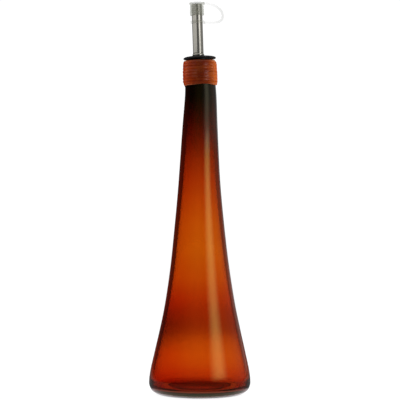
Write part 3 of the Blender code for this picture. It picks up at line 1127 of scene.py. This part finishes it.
def make_rubber():
    rubber = Surface("black_rubber", Specular_IOR_Level=0.4)
    grain = rubber.noise(rubber.place(), RUBBER_GRAIN, 3.0)
    patches = rubber.noise(rubber.place(), RUBBER_PATCHES, 2.0)
    rubber.feed("Base Color", rubber.mix(patches, RUBBER_DARK, RUBBER_GREY))
    rubber.feed("Roughness", patches * 0.15 + 0.34)
    rubber.bump(grain, RUBBER_RELIEF, 0.4)
    return rubber


dress(make_stopper(), "stopper_rubber", make_rubber(), "stopper")

# %% [markdown]
# ## The spout
#
# A straight steel tube stands in the stopper, with a rolled bead near the flange and a shallow groove
# over the bead. It is turned as a closed outline, so that it is open through its length.

# %% Make the spout
SPOUT_WALL = 0.6 * MM
SPOUT_TOP = 49.4 * MM
SPOUT_FOOT = -15.0 * MM
BEAD_RADIUS = 5.15 * MM
BEAD_FOOT = 3.75 * MM
BEAD_HEIGHT = 2.0 * MM
GROOVE_HEIGHT = 0.5 * MM
GROOVE_DEPTH = 0.18 * MM
RIM_SUPPORT = 1.0 * MM
GROOVE_SUPPORT = 0.3 * MM


def make_spout():
    bore = SPOUT_RADIUS - SPOUT_WALL
    edge = SPOUT_WALL / 2
    middle = BEAD_FOOT + BEAD_HEIGHT / 2
    tube_foot = BEAD_FOOT + BEAD_HEIGHT + GROOVE_HEIGHT
    straight = (SPOUT_TOP - RIM_SUPPORT, tube_foot + GROOVE_SUPPORT, tube_foot)
    outline = arc((bore + edge, SPOUT_TOP - edge), (edge, edge), 180, 0, 8)
    outline += [(SPOUT_RADIUS, height) for height in straight]
    outline += [(SPOUT_RADIUS - GROOVE_DEPTH, tube_foot - GROOVE_HEIGHT / 2)]
    outline += arc((SPOUT_RADIUS, middle), (BEAD_RADIUS - SPOUT_RADIUS, BEAD_HEIGHT / 2), 80, -80, 12)
    outline += [(SPOUT_RADIUS, BEAD_FOOT), (SPOUT_RADIUS, SPOUT_FOOT), (bore, SPOUT_FOOT)]
    spout = turn("steel_spout", outline, TURNED_SIDES, closed=True)
    settle(spout, (SPOUT_OFFSET, 0.0, 0.0))
    settle(spout, POURER_PLACE, POURER_LEAN)
    return spout


# %% [markdown]
# Metal shows nothing but its surroundings, so the banded studio gives it its dark and bright stripes.
# Smudges change its gloss and its colour a little, and the faint lines from drawing the tube run
# along it: a noise squeezed hard across the tube and left long along it.

# %% Steel
STEEL_DARK = (0.745, 0.72, 0.635, 1)
STEEL_BRIGHT = (0.825, 0.795, 0.71, 1)
DRAWN_LINES = (4000.0, 4000.0, 30.0)
STEEL_SMUDGES = 120.0
STEEL_RELIEF = 0.01 * MM


def make_steel():
    steel = Surface("polished_steel", Metallic=1.0)
    lines = steel.noise(steel.stretch(steel.place(), DRAWN_LINES), 1.0, 2.0)
    smudges = steel.noise(steel.place(), STEEL_SMUDGES, 3.0)
    steel.feed("Base Color", steel.mix(smudges, STEEL_DARK, STEEL_BRIGHT))
    steel.feed("Roughness", smudges * 0.06 + lines * 0.04 + 0.12)
    steel.bump(lines, STEEL_RELIEF, 0.06)
    return steel


dress(make_spout(), "steel", make_steel(), "spout")

# %% [markdown]
# ## The clear cap, its ring and its strap
#
# One soft clear moulding: a cap with a brim, a ring that grips the spout, and a thin flat strap that
# loops between them. The cap and the ring are turned. The strap could be carried along its path by
# extruding it, but a thin loop needs many small steps for that. It is drawn as a curve with three
# points instead, whose own bevel gives it thickness and round edges. Booleans then join the three.

# %% Make the cup and the ring
CAP_BORE = SPOUT_RADIUS + 0.15 * MM
CAP_RADIUS = 5.95 * MM
CAP_SKIRT_RADIUS = 6.15 * MM
CAP_FOOT = 39.5 * MM
CAP_BODY_HEIGHTS = (48.9 * MM, 48.6 * MM, 45.4 * MM, 45.1 * MM)
CAP_SKIRT_HEIGHTS = (44.1 * MM, 43.8 * MM, 40.2 * MM, 39.9 * MM)
CAP_EDGE = 0.3 * MM
CAP_ROOF_GAP = 0.3 * MM
BRIM_RADIUS = 6.55 * MM
BRIM_FOOT = 49.3 * MM
BRIM_FILLET = 0.1 * MM
CAP_TOP = 50.7 * MM
CAP_DOME = 0.5 * MM
RING_RADIUS = 6.0 * MM
RING_FOOT = 32.5 * MM
RING_HEIGHT = 2.4 * MM
RING_EDGE = 0.35 * MM


def make_cap_cup():
    roof = SPOUT_TOP + CAP_ROOF_GAP
    skirt_edge = (CAP_SKIRT_RADIUS - CAP_EDGE, CAP_FOOT + CAP_EDGE)
    outline = arc((0.0, CAP_TOP), (BRIM_RADIUS - CAP_EDGE, CAP_DOME), 90, 8, 8)
    outline += rim_outline(BRIM_RADIUS, BRIM_FOOT, CAP_TOP, CAP_EDGE, 4)
    outline += [(CAP_RADIUS + BRIM_FILLET, BRIM_FOOT - BRIM_FILLET)]
    outline += [(CAP_RADIUS, height) for height in CAP_BODY_HEIGHTS]
    outline += [(CAP_SKIRT_RADIUS, height) for height in CAP_SKIRT_HEIGHTS]
    outline += arc(skirt_edge, (CAP_EDGE, CAP_EDGE), -30, -90, 3)
    outline += [(CAP_BORE, CAP_FOOT), (CAP_BORE, roof), (0.0, roof)]
    return turn("clear_cap", outline, TURNED_SIDES)


def make_cap_ring():
    outline = rim_outline(RING_RADIUS, RING_FOOT, RING_FOOT + RING_HEIGHT, RING_EDGE, 4)
    outline += [(CAP_BORE, RING_FOOT), (CAP_BORE, RING_FOOT + RING_HEIGHT)]
    return turn("cap_ring", outline, TURNED_SIDES, closed=True)


# %% Make the strap
STRAP_WIDTH = 2.2 * MM
STRAP_THICKNESS = 0.9 * MM
STRAP_START = (SPOUT_OFFSET + 5.4 * MM, 49.95 * MM)
STRAP_BEND = (21.5 * MM, 38.8 * MM)
STRAP_END = (SPOUT_OFFSET + 5.4 * MM, 33.0 * MM)
STRAP_SAG = 0.9 * MM
STRAP_TOP_REACH = 9.5 * MM
STRAP_FOOT_REACH = 13.5 * MM
STRAP_BEND_RISE = 5.5 * MM
STRAP_BEND_DROP = 5.8 * MM
STRAP_STEPS = 24
STRAP_ROUNDING = 3


def draw_strap(curve):
    """Lay the curve's three points and their handles: out of the brim, round the bend and to the ring."""
    spline = curve.splines.new("BEZIER")
    spline.bezier_points.add(2)
    start, bend, end = (Vector((x, 0.0, z)) for x, z in (STRAP_START, STRAP_BEND, STRAP_END))
    inward = Vector((-MM, 0.0, 0.0))
    rise = Vector((0.0, 0.0, STRAP_BEND_RISE))
    drop = Vector((0.0, 0.0, -STRAP_BEND_DROP))
    handles = [
        (start + inward, start, start + Vector((STRAP_TOP_REACH, 0.0, 0.0))),
        (bend + rise, bend, bend + drop),
        (end + Vector((STRAP_FOOT_REACH, 0.0, -STRAP_SAG)), end, end + inward),
    ]
    for point, (before, knot, after) in zip(spline.bezier_points, handles):
        point.handle_left_type = point.handle_right_type = "FREE"
        point.handle_left = before
        point.co = knot
        point.handle_right = after


def make_strap():
    """A flat band along a drawn curve: the curve's own bevel gives it thickness and round edges."""
    curve = bpy.data.curves.new("cap_strap", "CURVE")
    curve.dimensions = "3D"
    curve.resolution_u = STRAP_STEPS
    curve.extrude = STRAP_WIDTH / 2 - STRAP_THICKNESS / 2
    curve.bevel_depth = STRAP_THICKNESS / 2
    curve.bevel_resolution = STRAP_ROUNDING
    curve.use_fill_caps = True
    draw_strap(curve)
    strap = bpy.data.objects.new("cap_strap", curve)
    bpy.context.scene.collection.objects.link(strap)
    select_only(strap)
    bpy.ops.object.convert(target="MESH")
    strap = bpy.context.object
    bpy.ops.object.mode_set(mode="EDIT")
    close_up()
    print("strap size in mm:", [round(side / MM, 1) for side in strap.dimensions])
    return strap


# %% Join the moulding
def join_moulding():
    cap, ring, strap = make_cap_cup(), make_cap_ring(), make_strap()
    settle(cap, (SPOUT_OFFSET, 0.0, 0.0))
    settle(ring, (SPOUT_OFFSET, 0.0, 0.0))
    for other in (strap, ring):
        combine(cap, other, "UNION")
    bpy.ops.object.shade_smooth_by_angle(angle=SHARP)
    settle(cap, POURER_PLACE, POURER_LEAN)
    return cap


# %% [markdown]
# Thin clear plastic could be made as glass is, but it is far too thin to bend the light much: what
# shows is a milky haze over the steel behind it. So it is a pale surface that is mostly see-through.
# The haze is densest in the cup, thinner in the ring and thinnest in the strap, a little denser there
# at the bend. The side that lies against the spout and the roof over it have none.

# %% Clear plastic
CUP_HAZE = 0.45
RING_HAZE = 0.22
BEND_HAZE = 0.13
STRAP_HAZE = 0.06
BEND_STARTS = (11 * MM, 20 * MM)
CUP_STARTS = (CAP_FOOT - 2 * MM, CAP_FOOT - MM)
BRIM_ENDS = (BRIM_RADIUS, BRIM_RADIUS + 0.6 * MM)
BORE_ENDS = (CAP_BORE + 0.3 * MM, CAP_BORE + 0.6 * MM)
PLASTIC_DARK = (0.62, 0.64, 0.53, 1)
PLASTIC_PALE = (0.68, 0.70, 0.59, 1)
PLASTIC_CLOUDS = 200.0


def make_clear_plastic():
    plastic = Surface("clear_plastic", Specular_IOR_Level=0.5)
    across, away, height = plastic.parts(plastic.place())
    aside = across - (height - LIP_HEIGHT) * math.tan(POURER_LEAN) - SPOUT_OFFSET
    reach = (aside * aside + away * away).math("SQRT")
    round_spout = 1 - reach.between(*BRIM_ENDS)
    cup = round_spout * (height - LIP_HEIGHT).between(*CUP_STARTS)
    bend = across.between(*BEND_STARTS)
    ring_and_strap = round_spout * (RING_HAZE - STRAP_HAZE) + bend * (BEND_HAZE - STRAP_HAZE) + STRAP_HAZE
    haze = cup * (CUP_HAZE - RING_HAZE) + ring_and_strap
    clouds = plastic.noise(plastic.place(), PLASTIC_CLOUDS, 2.0)
    plastic.feed("Base Color", plastic.mix(clouds, PLASTIC_DARK, PLASTIC_PALE))
    plastic.feed("Roughness", clouds * 0.1 + 0.2)
    plastic.feed("Alpha", haze * reach.between(*BORE_ENDS))
    return plastic


dress(join_moulding(), "clear_plastic", make_clear_plastic(), "cap")
